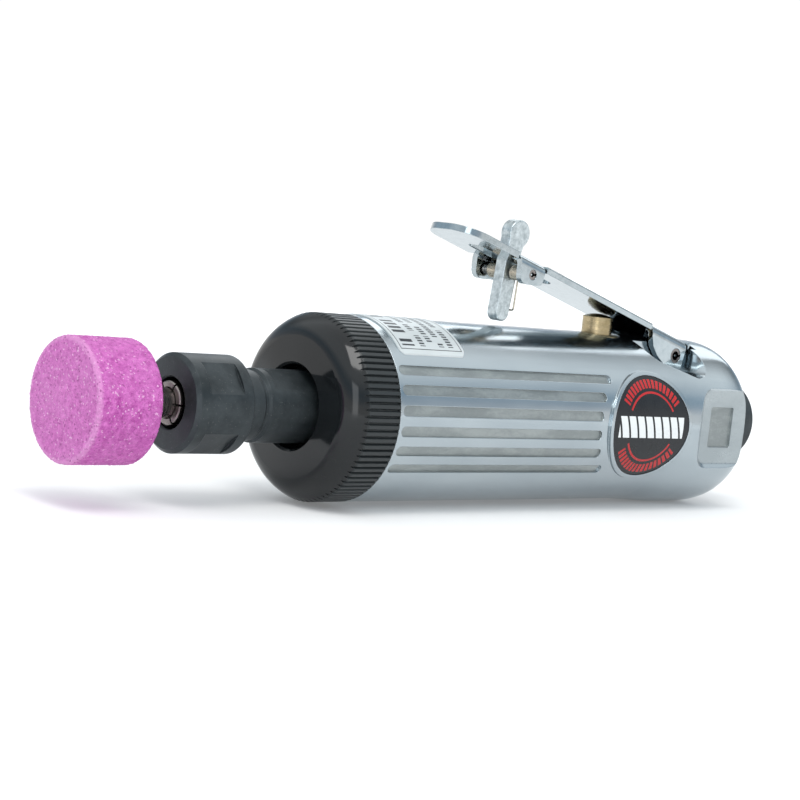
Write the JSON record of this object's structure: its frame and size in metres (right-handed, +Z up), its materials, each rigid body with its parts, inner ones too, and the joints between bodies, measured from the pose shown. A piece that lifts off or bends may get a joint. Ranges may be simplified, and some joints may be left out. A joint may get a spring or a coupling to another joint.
{
  "type": "die grinder",
  "caption": "Straight air die grinder: round fluted housing, knurled nose ring, collet with a mounted grinding stone, rear air inlet, and a throttle lever with a safety lock.",
  "frame": {"origin": "centre of the air inlet mouth at the rear end", "axes": "+X along the spindle towards the grinding stone, +Y to the tool's left side, +Z up through the throttle lever"},
  "size_m": [0.1987, 0.0412, 0.065],
  "materials": {
    "polished_aluminium": "polished",
    "badge_black": "gloss printed",
    "label_silver": "satin foil",
    "black_oxide": "black oxide",
    "ring_black": "gloss black",
    "rubber_black": "matt",
    "steel": "ground",
    "chrome_plate": "bright",
    "zinc_cast": "zinc plated casting",
    "spring_steel": "oil tempered",
    "brass": "turned",
    "iron": "machined",
    "vane_plastic": "phenolic",
    "abrasive_pink": "bonded grain"
  },
  "bodies": {
    "body": {"housing": "polished_aluminium", "side_badge_left": "badge_black", "side_badge_right": "badge_black", "spec_label": "label_silver", "inlet_bushing": "black_oxide", "inlet_gasket": "rubber_black", "inlet_screen": "steel", "valve_bushing": "brass", "bushing_o_ring": "rubber_black", "valve_spring": "steel", "lever_pin": "steel", "plate_gasket": "rubber_black", "rear_end_plate": "iron", "front_end_plate": "iron", "cylinder_liner": "iron", "liner_dowel": "steel", "rear_outer_race": "steel", "front_outer_race": "steel", "front_shield": "steel", "clamp_ring": "ring_black"},
    "spindle_group": {"rotor": "steel", "vane_1": "vane_plastic", "vane_2": "vane_plastic", "vane_3": "vane_plastic", "vane_4": "vane_plastic", "rear_inner_race": "steel", "front_inner_race": "steel", "spindle": "black_oxide", "collet": "steel", "collet_nut": "black_oxide", "stone_shank": "steel", "grinding_stone": "abrasive_pink"},
    "rear_ball_set": {"rear_balls": "steel", "rear_cage": "brass"},
    "front_ball_set": {"front_balls": "steel", "front_cage": "brass"},
    "lever": {"throttle_lever": "chrome_plate", "lock_pin": "steel"},
    "lock": {"lock_lever": "zinc_cast", "lock_spring": "spring_steel"},
    "valve": {"valve_plunger": "brass", "plunger_o_ring": "rubber_black", "valve_ball": "steel"}
  },
  "joints": [
    {"name": "spindle_spin", "type": "hinge", "parent": "body", "child": "spindle_group", "pos_m": [0, 0, 0], "axis": [1, 0, 0], "continuous": true},
    {"name": "rear_balls_spin", "type": "hinge", "parent": "body", "child": "rear_ball_set", "pos_m": [0, 0, 0], "axis": [1, 0, 0], "continuous": true},
    {"name": "front_balls_spin", "type": "hinge", "parent": "body", "child": "front_ball_set", "pos_m": [0, 0, 0], "axis": [1, 0, 0], "continuous": true},
    {"name": "lever_press", "type": "hinge", "parent": "body", "child": "lever", "pos_m": [0.0313, 0, 0.0161], "axis": [0, 1, 0], "range_deg": [0, 4], "stiffness_Nm_per_rad": 1, "springref_deg": -20.05},
    {"name": "lock_swing", "type": "hinge", "parent": "lever", "child": "lock", "pos_m": [0.084, 0, 0.0323], "axis": [0, 1, 0], "range_deg": [0, 80], "deforming": ["lock_spring"]},
    {"name": "valve_push", "type": "slide", "parent": "body", "child": "valve", "axis": [0, 0, -1], "range_m": [0, 0.00146], "deforming": ["valve_spring"]}
  ],
  "couplings": [
    {"joint": "rear_balls_spin", "follows": "spindle_spin", "ratio": 0.368},
    {"joint": "front_balls_spin", "follows": "spindle_spin", "ratio": 0.4006},
    {"joint": "lock_swing", "follows": "lever_press", "ratio": 20},
    {"joint": "valve_push", "follows": "lever_press", "m_per_rad": 0.0207}
  ]
}
